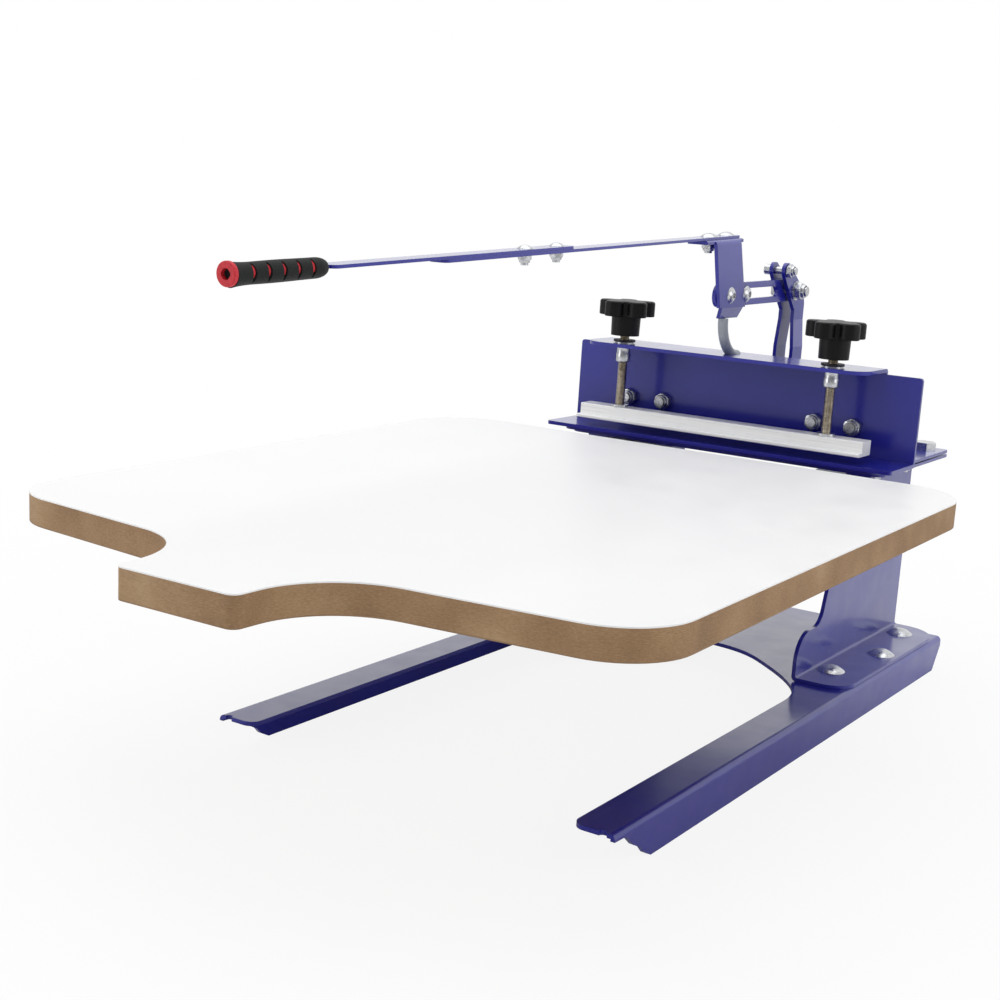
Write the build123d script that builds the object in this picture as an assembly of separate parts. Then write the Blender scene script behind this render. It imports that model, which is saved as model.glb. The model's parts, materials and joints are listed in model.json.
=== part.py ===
"""Tabletop screen printing press for one colour and one print board.

A bent steel base carries two uprights, which hold the hinge plate and the print board.
The head lifts about the rear hinge: it has a channel that holds the edge of a screen
frame under a clamp bar, and a mast with a slotted link that the long handle is bolted to.
Millimetres, +Z up, X across, +Y to the rear. The model is built with y = 0 at the front
of the board's tongue, and each node is written with the origin under the middle of the
whole press, on the floor.
"""
from build123d import *
from math import asin, cos, hypot, radians, sin
import os

# ---------------------------------------------------------------- general stock
sheet = 3.0                  # steel sheet of the base, uprights, channel and brackets
hinge_sheet = 2.5            # steel sheet of the two hinge plates
bend_radius = 4.0            # outside radius of a bend in that sheet
inner_bend_radius = 2.0
hole_clearance = 0.25        # radial, bolt in a drilled hole
running_clearance = 0.05     # radial, between parts that turn or slide on each other
rest_gap = 0.3               # between moving parts that rest near each other

# ---------------------------------------------------------------- print board
board_width = 450.0
board_length = 560.0
board_core_thickness = 16.4
laminate_thickness = 0.8
board_rear_top = 188.8       # height of the print surface at the board's rear edge
board_tilt = 0.68            # degrees, front edge down
board_rear_radius = 50.0
tongue_front_half = 41.0
tongue_root_half = 43.5
tongue_corner_radius = 6.0
tongue_root_radius = 54.5
shoulder_inner_y = 64.4      # where the shoulder line would meet the tongue's side
shoulder_outer_y = 83.0      # where it would meet the board's side
shoulder_radius = 44.0

# ---------------------------------------------------------------- base frame
base_width = 302.0
base_front = 200.0
base_rear = board_length + 207.0
base_height = 27.0
leg_strip_width = 29.0
leg_corner_radius = 8.0
# Stepped cut of the side flange at the leg's front end: distance from the end, height.
leg_end_steps = ((0.0, 22.5), (13.5, 22.0), (23.0, 14.0), (34.0, 8.5), (38.5, 4.0), (46.5, 0.0))
leg_end_radius = 2.5
rear_end_depth = 8.0         # depth of the side flange at its rear end
rear_end_slope = 15.0        # length over which it comes down to the bench
relief_radius = 2.5          # notch that frees the bend at the leg's front end
cross_plate_rear = base_rear - 6.0
arch_side_y = board_length - 60.0   # where the opening between the legs starts to close
arch_shoulder = (103.0, board_length - 10.0)
arch_flank = (67.5, board_length + 24.0)
arch_top_y = board_length + 47.0

# ---------------------------------------------------------------- uprights
upright_inset = 42.0         # web's outer face from the base's side
upright_foot_inset = 2.0
upright_overhang = 1.0       # behind the base's rear end
upright_length = 217.0
foot_front_radius = 20.0
foot_rear_radius = 30.0
# The web's front edge: distances behind its toe, heights above the base.
upright_step = (43.0, 36.0)
upright_neck = (60.0, 90.0)
upright_top_setback = 71.0
upright_toe_radius = 22.0
upright_heel_radius = 16.0
upright_neck_radius = 60.0
upright_head_width = 17.0    # flange at the upright's top, from the web's outer face
base_plate_top = 183.5       # top of the fixed hinge plate
foot_bolt_offsets = ((13.0, 178.0), (26.0, 104.0), (15.0, 30.0))   # from web, from rear end

# ---------------------------------------------------------------- hinge
plate_gap = 1.0              # between the fixed and the lifting hinge plate
plate_side_inset = 13.0      # plates' side edge from the base's side
plate_corner_front = 8.0
plate_corner_rear = 3.0
base_plate_front = board_length + 52.0
head_plate_front = board_length + 38.0
base_plate_bolt_offsets = (40.0, 45.0)   # from the plate's front, from its rear
hinge_axis_offset = 0.5      # axis behind the plates' rear edge
knuckle_radius = 4.5
hinge_pin_radius = 2.5
hinge_half = 100.0           # half length of the row of knuckles
knuckle_count = 5
knuckle_gap = 0.4
pin_head_radius = 3.6
pin_head_thickness = 1.5
rest_pad_radius = 8.0
rest_pad_place = (88.0, board_length + 68.0)
jack_bolt_offsets = (14.0, 18.0)         # from the upright's web, from the plate's rear

# ---------------------------------------------------------------- screen clamp
channel_half = 151.0
channel_front = board_length + 33.0
channel_web_front = board_length + 83.0
channel_height = 74.0
top_flange_half = 122.0
web_side_drop = 4.5          # the web's top beside the top flange, below the flange's top
web_corner_radius = 2.5
floor_corner_radius = 3.0
top_corner_radius = 18.0
web_bolt_places = ((67.5, 25.5), (100.0, 25.5))   # x and height above the channel's bottom
corner_bracket_inner = 54.0
corner_bracket_outer = 110.0
corner_bracket_height = 42.0
corner_bracket_depth = 46.0
bracket_screw_places = ((67.5, 30.0), (100.0, 30.0))   # x and distance behind the web
bar_half = 124.0
bar_front = board_length + 42.0
bar_rear = board_length + 59.0
bar_height = 8.6
bar_edge = 0.6               # chamfer along the bar
lip_reach = 6.5              # the bar's lip in front of its body
lip_height = 2.8
clamp_opening = 6.4          # under the bar's lip, as it is set here
screw_x = 91.0
screw_y = board_length + 49.0
screw_radius = 4.0
screw_pitch = 1.25
journal_radius = 3.0
journal_length = 7.0
foot_washer_radius = 7.0
foot_washer_thickness = 2.0
rivet_nut_radius = 5.9
rivet_nut_length = 12.5
rivet_flare_height = 2.0     # cone under the roof, out to the rim's radius
rivet_rim_radius = 8.0
rivet_rim_thickness = 1.0
flange_washer_radius = 9.0
flange_washer_thickness = 1.8
knob_lift = 3.4              # under the knob's hub, as the clamp is set here
hub_radius = 12.0
hub_taper = 0.4
hub_height = 16.0
knob_radius = 23.5
knob_height = 12.5
knob_lobes = 5
lobe_radius = 8.0
knob_valley_radius = 1.5
knob_edge_radius = 2.0
knob_turn = 43.0             # degrees, one lobe points to the rear left
knob_socket_depth = 22.0

# ---------------------------------------------------------------- mast
arm_width = 20.0
arm_tip_radius = 6.5
arm_foot_spread = 6.0        # inner faces of the arms from the middle, at the foot
arm_head_spread = 4.0        # the same, at the top
arm_foot_length = 27.0
arm_screw_offset = 13.0      # from the arm's outer face
arm_y = board_length + 174.0
arm_joggle_low = 75.0        # heights of the joggle above the hinge plate
arm_joggle_high = 98.0
arm_bend_height = 110.0
pivot_y = board_length + 162.0
pivot_height = 122.7         # above the lifting hinge plate
stop_forward = 19.0          # stop bolt from the pivot
stop_above = 16.8
stop_bolt_radius = 3.0
stop_head_radius = 4.4
stop_head_height = 6.0
pivot_bolt_radius = 4.0
pivot_washer_radius = 8.0
pivot_washer_thickness = 1.5

# ---------------------------------------------------------------- slotted link
link_thickness = 3.0
link_height = 18.5
link_reach = 132.5           # pivot to the centre of the round front end
link_slope = 0.7             # degrees, front end down
slot_width = 8.4
slot_near = 27.0             # slot end centres from the pivot
slot_far = 124.0
clamp_screw_near = 91.0      # handle bracket screws from the pivot
clamp_screw_far = 120.0
clamp_screw_radius = 4.0
clamp_washer_radius = 6.5
clamp_washer_thickness = 1.0
clamp_nut_height = 4.0

# ---------------------------------------------------------------- handle
handle_slope = 2.5           # degrees, front end down
strip_width = 14.0
strip_thickness = 2.0
strip_corner_radius = 4.0
strip_x = -7.0
strip_rise = 44.5            # middle of the rear strip above the link's front end
strip_anchor_y = board_length + 35.0
rear_strip_front = board_length - 341.0
rear_strip_rear = board_length + 61.0
front_strip_rear = board_length - 193.5
grip_front = board_length - 520.5
grip_rear = board_length - 444.0
tang_width = 6.5
tang_front = board_length - 508.0
tang_overlap = 5.0           # tang and strip run into each other in the grip's rear end
tab_front = board_length - 4.0
tab_rear = board_length + 59.0
cheek_top_front = board_length + 8.0
cheek_top_rear = board_length + 51.0
cheek_bottom_front = board_length + 24.0
cheek_bottom_rear = board_length + 70.0
rest_tab_front = board_length + 28.0
rest_tab_rear = board_length + 66.0
rest_tab_taper = 3.0         # shorter at each end of its lower edge
rest_tab_drop = 8.5
rest_tab_lean = 3.0          # its lower edge to the left of the upper one
rod_radius = 4.0
rod_y = board_length + 40.0
rod_x = 0.5
rod_bend_radius = 30.0
tab_bolt_places = (board_length + 18.0, board_length + 48.0)
splice_bolt_places = (board_length - 245.0, board_length - 206.5)
grip_front_radius = 6.6
grip_flange_length = 3.0
grip_core_radius = 4.7
grip_sleeve_radius = 5.7
grip_bore_radius = 3.0
grip_dome_length = 9.0
grip_tip_radius = 2.5        # of the domed rear end, where the strip comes out
grip_end_gap = 4.0

# ---------------------------------------------------------------- board arms
board_arm_front = board_length - 230.0
board_arm_setback = 68.0     # its rear end from the upright's rear edge
board_arm_width = 40.0
board_arm_depth = 32.0
board_arm_corner_radius = 10.0
board_arm_bolt_offsets = (118.0, 83.0)         # from the upright's rear edge
board_screw_offsets = (200.0, 120.0, 40.0)     # from the board's rear edge
board_screw_radius = 2.0
board_screw_length = 14.0
board_screw_head_radius = 4.0
board_screw_head_height = 2.0

# ---------------------------------------------------------------- fasteners: shank, head, nut
M5 = {"shank": 2.5, "head": 5.2, "head_height": 2.4, "across": 8.0, "nut": 5.0}
M6 = {"shank": 3.0, "head": 6.8, "head_height": 2.8, "across": 10.0, "nut": 6.0}
M8 = {"shank": 4.0, "head": 11.0, "head_height": 4.6, "across": 13.0, "nut": 8.0}
M10 = {"shank": 5.0, "across": 17.0}
clamp_button = dict(M8, head=6.5, head_height=3.2, nut=clamp_nut_height)
hex_head_ratio = 0.65        # hexagon head height over the thread diameter
thread_end = 1.5             # thread that stands out of a nut

# ---------------------------------------------------------------- derived places
upright_outer = base_width / 2 - upright_inset
upright_foot_half = base_width / 2 - upright_foot_inset
upright_rear = base_rear + upright_overhang
upright_front = upright_rear - upright_length
upright_top = base_plate_top - hinge_sheet
foot_bolt_places = [(upright_outer + x, upright_rear - y) for x, y in foot_bolt_offsets]
board_arm_rear = upright_rear - board_arm_setback
board_arm_bolt_ys = [upright_rear - y for y in board_arm_bolt_offsets]
board_screw_ys = [board_length - y for y in board_screw_offsets]
hinge_plate_half = base_width / 2 - plate_side_inset
plate_rear = upright_rear
head_plate_bottom = base_plate_top + plate_gap
head_plate_top = head_plate_bottom + hinge_sheet
hinge_axis_y = plate_rear + hinge_axis_offset
hinge_axis_z = base_plate_top + plate_gap / 2
overall_length = hinge_axis_y + knuckle_radius
channel_top = head_plate_top + channel_height
rest_top = head_plate_top + sheet
lip_bottom = rest_top + clamp_opening
bar_bottom = lip_bottom + lip_height
bar_top = bar_bottom + bar_height
flange_bottom = channel_top - sheet
flange_washer_bottom = channel_top + rivet_rim_thickness
knob_bottom = flange_washer_bottom + flange_washer_thickness + knob_lift
foot_washer_bottom = bar_top + 2 * running_clearance
pivot_z = head_plate_top + pivot_height
stop_y = pivot_y - stop_forward
stop_z = pivot_z + stop_above
board_thickness = board_core_thickness + 2 * laminate_thickness
board_bottom = board_rear_top - board_thickness
upright_inner = upright_outer - sheet
board_arm_bolt_z = board_bottom - board_arm_depth / 2 - sheet / 2
bracket_face = link_thickness / 2 + sheet
link_end_z = pivot_z - link_reach * sin(radians(link_slope))
strip_height = link_end_z + strip_rise
cheek_bottom = link_end_z - link_height / 2 - rest_gap
strip_left = strip_x - strip_width / 2
rod_top = cheek_bottom - rest_tab_drop - rest_gap


# ================================================================ helpers
def block(x, y, z):
    """Box between the limits given for each axis as (low, high)."""
    size = [high - low for low, high in (x, y, z)]
    middle = [(high + low) / 2 for low, high in (x, y, z)]
    return Pos(*middle) * Box(*size)


def rod_z(x, y, z, radius):
    """Cylinder along Z between the heights z = (low, high)."""
    return Pos(x, y, (z[0] + z[1]) / 2) * Cylinder(radius, z[1] - z[0])


def rod_x_axis(x, y, z, radius):
    """Cylinder along X between x = (low, high)."""
    return Pos((x[0] + x[1]) / 2, y, z) * Rot(0, 90, 0) * Cylinder(radius, x[1] - x[0])


def side_face(points):
    """Face in the Y-Z plane from (y, z) points."""
    return make_face(Plane.YZ * Polyline(*points, close=True))


def side_plate(points, x):
    """Plate with the given (y, z) outline between x = (low, high)."""
    return Pos(x[0], 0, 0) * extrude(side_face(points), x[1] - x[0], dir=(1, 0, 0))


def capsule(start, end, radius, x, end_radius=None):
    """Round-ended bar between two (y, z) points, between x = (low, high).

    With an end radius of its own, the bar tapers between the tangents of its two round ends.
    """
    end_radius = end_radius or radius
    dy, dz = end[0] - start[0], end[1] - start[1]
    length = hypot(dy, dz)
    along = ((radius - end_radius) / length * dy / length,
             (radius - end_radius) / length * dz / length)
    share = cos(asin((radius - end_radius) / length))
    across = (-dz / length * share, dy / length * share)
    corners = [(place[0] + (along[0] + side * across[0]) * size,
                place[1] + (along[1] + side * across[1]) * size)
               for place, size, side in ((start, radius, 1), (end, end_radius, 1),
                                         (end, end_radius, -1), (start, radius, -1))]
    return (side_plate(corners, x) + rod_x_axis(x, *start, radius)
            + rod_x_axis(x, *end, end_radius))


def rounded(shape, places, axis=Axis.Z):
    """Round the edges along an axis that pass through the given points, each with its radius."""
    for place, radius in places:
        edges = shape.edges().filter_by(axis)
        nearest = min(edges, key=lambda edge: edge.distance_to(Vertex(*place)))
        shape = fillet(nearest, radius)
    return shape


def both_sides(shape):
    """The shape and its mirror image in the middle plane."""
    return Compound(children=[shape, mirror(shape, Plane.YZ)])


def group(shapes):
    return Compound(children=list(shapes))


def dome_head(size):
    """Low domed bolt head, base at z = 0."""
    radius, height = size["head"], size["head_height"]
    ball = (radius ** 2 + height ** 2) / (2 * height)
    upper = Pos(0, 0, height) * Box(4 * radius, 4 * radius, 2 * height)
    return Pos(0, 0, height - ball) * Sphere(ball) & upper


def socket_head(size):
    """Domed head with a hexagon socket, base at z = 0."""
    socket = extrude(RegularPolygon(size["shank"] * 0.62, 6), size["head_height"])
    return dome_head(size) - Pos(0, 0, size["head_height"] * 0.45) * socket


def hex_prism(size, height):
    return extrude(RegularPolygon(size["across"] / 2, 6, major_radius=False), height)


def hex_head(size):
    return hex_prism(size, 2 * size["shank"] * hex_head_ratio)


def lock_nut(size):
    """Nut with a round locking collar, seat at z = 0."""
    collar_height = size["nut"] * 0.3
    body = hex_prism(size, size["nut"] - collar_height)
    collar = rod_z(0, 0, (0, size["nut"]), size["across"] * 0.43)
    return body + collar - rod_z(0, 0, (-1, size["nut"] + 1), size["shank"])


def bolt(head, size, length):
    """Head above z = 0 and a shank of the given length below it."""
    return head + rod_z(0, 0, (-length, 0.2), size["shank"])


def washer(radius, bore, z):
    return rod_z(0, 0, z, radius) - rod_z(0, 0, (z[0] - 1, z[1] + 1), bore)


def along_x(shape, x, y, z):
    """Turn a Z-built fastener so that its head points along +X and put its seat at x."""
    return Pos(x, y, z) * Rot(0, 90, 0) * shape


def along_minus_x(shape, x, y, z):
    return Pos(x, y, z) * Rot(0, -90, 0) * shape


def tilted(shape):
    """Tilt the level board group about the board's rear top edge."""
    pivot = Pos(0, board_length, board_rear_top)
    return pivot * Rot(board_tilt, 0, 0) * pivot.inverse() * shape


def tilted_place(y, z):
    """Where a point of the level board group lies after the tilt."""
    turn = radians(board_tilt)
    dy, dz = y - board_length, z - board_rear_top
    return (board_length + dy * cos(turn) - dz * sin(turn),
            board_rear_top + dy * sin(turn) + dz * cos(turn))


def sloped(shape):
    """Tilt the level handle about the bracket's mid point, front end down."""
    pivot = Pos(0, strip_anchor_y, strip_height)
    return pivot * Rot(handle_slope, 0, 0) * pivot.inverse() * shape


def link_place(distance):
    """Point on the link's middle line at a distance from its pivot."""
    slope = radians(link_slope)
    return pivot_y - distance * cos(slope), pivot_z - distance * sin(slope)


# ================================================================ print board
def board_outline():
    half = board_width / 2
    right = [(tongue_front_half, 0), (tongue_root_half, shoulder_inner_y),
             (half, shoulder_outer_y), (half, board_length)]
    left = [(-x, y) for x, y in reversed(right)]
    face = make_face(Polyline(*right, *left, close=True))
    radii = (tongue_corner_radius, tongue_root_radius, shoulder_radius, board_rear_radius)
    for (x, y), radius in zip(right, radii):
        for side in (x, -x):
            corner = min(face.vertices(), key=lambda v: hypot(v.X - side, v.Y - y))
            face = fillet(corner, radius)
    return face


def board_layer(bottom, thickness):
    return tilted(Pos(0, 0, bottom) * extrude(board_outline(), thickness))


def board_top_laminate():
    return board_layer(board_rear_top - laminate_thickness, laminate_thickness)


def board_core():
    layer = board_layer(board_bottom + laminate_thickness, board_core_thickness)
    return layer - board_screws()


def board_bottom_laminate():
    return board_layer(board_bottom, laminate_thickness) - board_screws()


def board_screws():
    """Pan-head wood screws that hold the board down on its arms."""
    seat = board_bottom - sheet
    screw = (rod_z(0, 0, (0, board_screw_length), board_screw_radius)
             + rod_z(0, 0, (-board_screw_head_height, 0), board_screw_head_radius))
    x = upright_inner - board_arm_width / 2
    return both_sides(tilted(group(Pos(x, y, seat) * screw for y in board_screw_ys)))


def board_arm(side):
    """Angle under the board: a level flange for the board and a web against the upright."""
    flange = block((upright_inner - board_arm_width, upright_inner),
                   (board_arm_front, board_arm_rear), (board_bottom - sheet, board_bottom))
    web = block((upright_inner - sheet, upright_inner),
                (board_arm_front, board_arm_rear), (board_bottom - board_arm_depth, board_bottom))
    arm = rounded(flange + web, [((upright_inner, board_length, board_bottom), bend_radius)],
                  Axis.Y)
    flange_corner = upright_inner - board_arm_width
    arm = rounded(arm, [((flange_corner, y, board_bottom), board_arm_corner_radius)
                        for y in (board_arm_front, board_arm_rear)])
    for y in board_arm_bolt_ys:
        arm -= rod_x_axis((0, upright_outer), y, board_arm_bolt_z, M6["shank"] + hole_clearance)
    x = upright_inner - board_arm_width / 2
    for y in board_screw_ys:
        arm -= rod_z(x, y, (board_bottom - 2 * sheet, board_bottom + 1),
                     board_screw_radius + hole_clearance)
    arm = tilted(arm)
    return arm if side > 0 else mirror(arm, Plane.YZ)


def arm_bolt_places():
    return [tilted_place(y, board_arm_bolt_z) for y in board_arm_bolt_ys]


def board_arm_bolts():
    one = bolt(dome_head(M6), M6, 2 * sheet + M6["nut"] + thread_end)
    return both_sides(group(along_x(one, upright_outer, y, z) for y, z in arm_bolt_places()))


def board_arm_nuts():
    seat = upright_inner - sheet
    return both_sides(group(along_minus_x(lock_nut(M6), seat, y, z)
                            for y, z in arm_bolt_places()))


# ================================================================ base and uprights
def base_plan():
    """Top of the base: two leg strips joined by the rear cross plate."""
    half = base_width / 2
    inner = half - leg_strip_width
    arch = Spline((inner, arch_side_y), arch_shoulder, arch_flank, (0, arch_top_y),
                  tangents=[(0, 1), (-1, 0)])
    edges = [Line((0, arch_top_y), (0, cross_plate_rear)),
             Polyline((0, cross_plate_rear), (inner, cross_plate_rear), (inner, base_rear),
                      (half, base_rear), (half, base_front), (inner, base_front),
                      (inner, arch_side_y)),
             arch]
    return make_face(edges)


def leg_flange():
    """Outer side flange of a leg, with a stepped front end and a sloped rear end."""
    half = base_width / 2
    front = [(base_front + y, z) for y, z in leg_end_steps]
    rear = [(base_rear - rear_end_slope, 0), (base_rear, base_height - rear_end_depth)]
    outline = front + rear + [(base_rear, base_height), (base_front, base_height)]
    flange = side_plate(outline, (half - sheet, half))
    middle = half - sheet / 2
    return rounded(flange, [((middle, y, z), leg_end_radius) for y, z in front[1:] + rear],
                   Axis.X)


def base_frame():
    half = base_width / 2
    inner = half - leg_strip_width
    top_bottom = base_height - sheet
    right = Pos(0, 0, top_bottom) * extrude(base_plan(), sheet)
    right = rounded(right, [((inner, base_front, base_height), leg_corner_radius)])
    right += leg_flange()
    right = rounded(right, [((half, board_length, base_height), bend_radius)], Axis.Y)
    right -= rod_z(half - sheet - 2 * relief_radius, base_front, (0, base_height + 1),
                   relief_radius)
    for x, y in foot_bolt_places:
        right -= rod_z(x, y, (0, base_height + 1), M8["shank"] + hole_clearance)
    return right + mirror(right, Plane.YZ)


def upright_web():
    """Standing plate with a toe at the front, a waist and a leaning front edge."""
    toe = (upright_front, base_height + upright_step[1])
    heel = (upright_front + upright_step[0], toe[1])
    neck = (upright_front + upright_neck[0], base_height + upright_neck[1])
    top_front = (upright_front + upright_top_setback, upright_top)
    outline = [(upright_front, base_height), toe, heel, neck, top_front,
               (upright_rear, upright_top), (upright_rear, base_height)]
    web = side_plate(outline, (upright_inner, upright_outer))
    middle = (upright_inner + upright_outer) / 2
    return rounded(web, [((middle, *toe), upright_toe_radius),
                         ((middle, *heel), upright_heel_radius),
                         ((middle, *neck), upright_neck_radius)], Axis.X)


def upright(side):
    foot = block((upright_inner, upright_foot_half), (upright_front, upright_rear),
                 (base_height, base_height + sheet))
    foot = rounded(foot, [((upright_foot_half, upright_front, base_height), foot_front_radius),
                          ((upright_foot_half, upright_rear, base_height), foot_rear_radius)])
    top_front = upright_front + upright_top_setback
    head = block((upright_inner, upright_outer + upright_head_width),
                 (top_front, upright_rear), (upright_top - sheet, upright_top))
    shape = upright_web() + foot + head
    middle_y = (top_front + upright_rear) / 2
    bends = [((upright_inner, middle_y, base_height), bend_radius),
             ((upright_outer, middle_y, base_height + sheet), inner_bend_radius),
             ((upright_outer, middle_y, upright_top - sheet), inner_bend_radius)]
    shape = rounded(shape, bends, Axis.Y)
    for x, y in foot_bolt_places:
        shape -= rod_z(x, y, (0, base_height + 2 * sheet), M8["shank"] + hole_clearance)
    for x, y in base_plate_bolt_places():
        shape -= rod_z(x, y, (upright_top - 2 * sheet, upright_top + 1),
                       M6["shank"] + hole_clearance)
    for y, z in arm_bolt_places():
        shape -= rod_x_axis((0, upright_outer + 1), y, z, M6["shank"] + hole_clearance)
    return shape if side > 0 else mirror(shape, Plane.YZ)


def foot_bolts():
    one = bolt(dome_head(M8), M8, 2 * sheet + M8["nut"] + thread_end)
    seat = base_height + sheet
    return both_sides(group(Pos(x, y, seat) * one for x, y in foot_bolt_places))


def foot_nuts():
    seat = base_height - sheet
    one = Rot(180, 0, 0) * lock_nut(M8)
    return both_sides(group(Pos(x, y, seat) * one for x, y in foot_bolt_places))


# ================================================================ hinge
def knuckle_spans():
    """Limits in X of each knuckle, from left to right."""
    pitch = 2 * hinge_half / knuckle_count
    starts = [-hinge_half + i * pitch for i in range(knuckle_count)]
    return [(x + knuckle_gap / 2, x + pitch - knuckle_gap / 2) for x in starts]


def hinge_leaf(front, z, own, other, bore):
    """Flat plate with rolled knuckles at its rear edge, cut back behind the other's knuckles."""
    leaf = block((-hinge_plate_half, hinge_plate_half), (front, plate_rear), z)
    for corner in (-hinge_plate_half, hinge_plate_half):
        leaf = rounded(leaf, [((corner, front, z[0]), plate_corner_front),
                              ((corner, plate_rear, z[0]), plate_corner_rear)])
    for low, high in other:
        leaf -= block((low - knuckle_gap, high + knuckle_gap),
                      (hinge_axis_y - knuckle_radius - rest_gap, plate_rear + 1),
                      (z[0] - 1, z[1] + 1))
    for low, high in own:
        leaf += rod_x_axis((low, high), hinge_axis_y, hinge_axis_z, knuckle_radius)
    head_end = hinge_half + pin_head_thickness + knuckle_gap
    for side in (-1, 1):
        leaf -= block(sorted((side * (hinge_half - knuckle_gap / 2), side * head_end)),
                      (hinge_axis_y - pin_head_radius - rest_gap, plate_rear + 1),
                      (z[0] - 1, z[1] + 1))
    return leaf - rod_x_axis((-hinge_half - 1, hinge_half + 1), hinge_axis_y, hinge_axis_z, bore)


def base_plate_bolt_places():
    x = upright_outer + upright_head_width / 2
    behind_front, before_rear = base_plate_bolt_offsets
    return [(x, base_plate_front + behind_front), (x, plate_rear - before_rear)]


def countersink(size, top):
    """Right-angled conical head, as deep as the hinge plate and flush at the height top."""
    return (Pos(0, 0, top - hinge_sheet / 2)
            * Cone(size["shank"], size["shank"] + hinge_sheet, hinge_sheet))


def hinge_base_plate():
    spans = knuckle_spans()
    plate = hinge_leaf(base_plate_front, (upright_top, base_plate_top),
                       spans[0::2], spans[1::2], hinge_pin_radius)
    for x, y in base_plate_bolt_places():
        for side in (x, -x):
            plate -= Pos(side, y, 0) * countersink(M6, base_plate_top)
    return plate


def base_plate_bolts():
    """Countersunk bolts that hold the fixed hinge plate on the uprights."""
    length = hinge_sheet + sheet + M6["nut"] + thread_end
    one = countersink(M6, 0) + rod_z(0, 0, (-length, -hinge_sheet), M6["shank"])
    return both_sides(group(Pos(x, y, base_plate_top) * one
                            for x, y in base_plate_bolt_places()))


def base_plate_nuts():
    one = Rot(180, 0, 0) * lock_nut(M6)
    seat = upright_top - sheet
    return both_sides(group(Pos(x, y, seat) * one for x, y in base_plate_bolt_places()))


def hinge_pin():
    pin = rod_x_axis((-hinge_half, hinge_half), hinge_axis_y, hinge_axis_z, hinge_pin_radius)
    end = rod_x_axis((hinge_half, hinge_half + pin_head_thickness), hinge_axis_y, hinge_axis_z,
                     pin_head_radius)
    return pin + end + mirror(end, Plane.YZ)


def rest_pads():
    """Rubber pads on the fixed plate that the lowered head lies on."""
    x, y = rest_pad_place
    top = head_plate_bottom - rest_gap
    return both_sides(rod_z(x, y, (base_plate_top, top), rest_pad_radius))


def jack_bolt_place():
    return upright_outer + jack_bolt_offsets[0], plate_rear - jack_bolt_offsets[1]


def head_plate():
    spans = knuckle_spans()
    plate = hinge_leaf(head_plate_front, (head_plate_bottom, head_plate_top),
                       spans[1::2], spans[0::2], hinge_pin_radius + running_clearance)
    below, above = head_plate_bottom - 1, head_plate_top + 1
    x, y = jack_bolt_place()
    for side in (x, -x):
        plate -= rod_z(side, y, (below, above), M10["shank"])
    for x, offset in bracket_screw_places:
        for side in (x, -x):
            plate -= rod_z(side, channel_web_front + sheet + offset, (below, above),
                           M6["shank"])
    for x in arm_screw_xs():
        for side in (x, -x):
            plate -= rod_z(side, arm_y, (below, above), M6["shank"])
    return plate


def jack_bolts():
    """Hexagon bolts through the rear corners of the lifting plate."""
    x, y = jack_bolt_place()
    one = bolt(hex_head(M10), M10, hinge_sheet + plate_gap - rest_gap)
    return both_sides(Pos(x, y, head_plate_top) * one)


# ================================================================ screen clamp
def clamp_channel():
    """Channel that the rear edge of a screen frame slides into."""
    rear = channel_web_front + sheet
    side_top = channel_top - web_side_drop
    web = block((-channel_half, channel_half), (channel_web_front, rear),
                (head_plate_top, side_top))
    floor = block((-channel_half, channel_half), (channel_front, rear),
                  (head_plate_top, rest_top))
    roof = block((-top_flange_half, top_flange_half), (channel_front, rear),
                 (flange_bottom, channel_top))
    under_roof = block((-top_flange_half, top_flange_half), (channel_web_front, rear),
                       (head_plate_top, channel_top))
    for side in (-1, 1):
        web = rounded(web, [((side * channel_half, rear, side_top), web_corner_radius)], Axis.Y)
        floor = rounded(floor, [((side * channel_half, channel_front, rest_top),
                                 floor_corner_radius)])
        roof = rounded(roof, [((side * top_flange_half, channel_front, channel_top),
                               top_corner_radius)])
    channel = web + floor + roof + under_roof
    channel = rounded(channel, [((0, rear, head_plate_top), sheet),
                                ((0, rear, channel_top), bend_radius)], Axis.X)
    for x, height in web_bolt_places:
        for side in (x, -x):
            hole = Pos(side, rear, head_plate_top + height) * Rot(90, 0, 0)
            channel -= hole * Cylinder(M8["shank"] + hole_clearance, 4 * sheet)
    for side in (-screw_x, screw_x):
        channel -= rod_z(side, screw_y, (flange_bottom - 1, channel_top + 1), rivet_nut_radius)
    return channel


def corner_bracket(side):
    """Angle behind the channel's web, bolted to it and to the lifting plate."""
    front = channel_web_front + sheet
    x = (corner_bracket_inner, corner_bracket_outer)
    level = block(x, (front, front + corner_bracket_depth), (head_plate_top, rest_top))
    standing = block(x, (front, front + sheet),
                     (head_plate_top, head_plate_top + corner_bracket_height))
    shape = level + standing
    middle = (corner_bracket_inner + corner_bracket_outer) / 2
    shape = rounded(shape, [((middle, front, head_plate_top), bend_radius)], Axis.X)
    for at, height in web_bolt_places:
        hole = Pos(at, front, head_plate_top + height) * Rot(90, 0, 0)
        shape -= hole * Cylinder(M8["shank"] + hole_clearance, 4 * sheet)
    for at, offset in bracket_screw_places:
        shape -= rod_z(at, front + offset, (head_plate_top - 1, rest_top + 1),
                       M6["shank"] + hole_clearance)
    return shape if side > 0 else mirror(shape, Plane.YZ)


def web_bolts():
    length = 2 * sheet + M8["nut"] + thread_end
    one = Rot(-90, 0, 0) * bolt(dome_head(M8), M8, length)
    seat = channel_web_front + 2 * sheet
    return both_sides(group(Pos(x, seat, head_plate_top + height) * one
                            for x, height in web_bolt_places))


def web_nuts():
    one = Rot(90, 0, 0) * lock_nut(M8)
    return both_sides(group(Pos(x, channel_web_front, head_plate_top + height) * one
                            for x, height in web_bolt_places))


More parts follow.
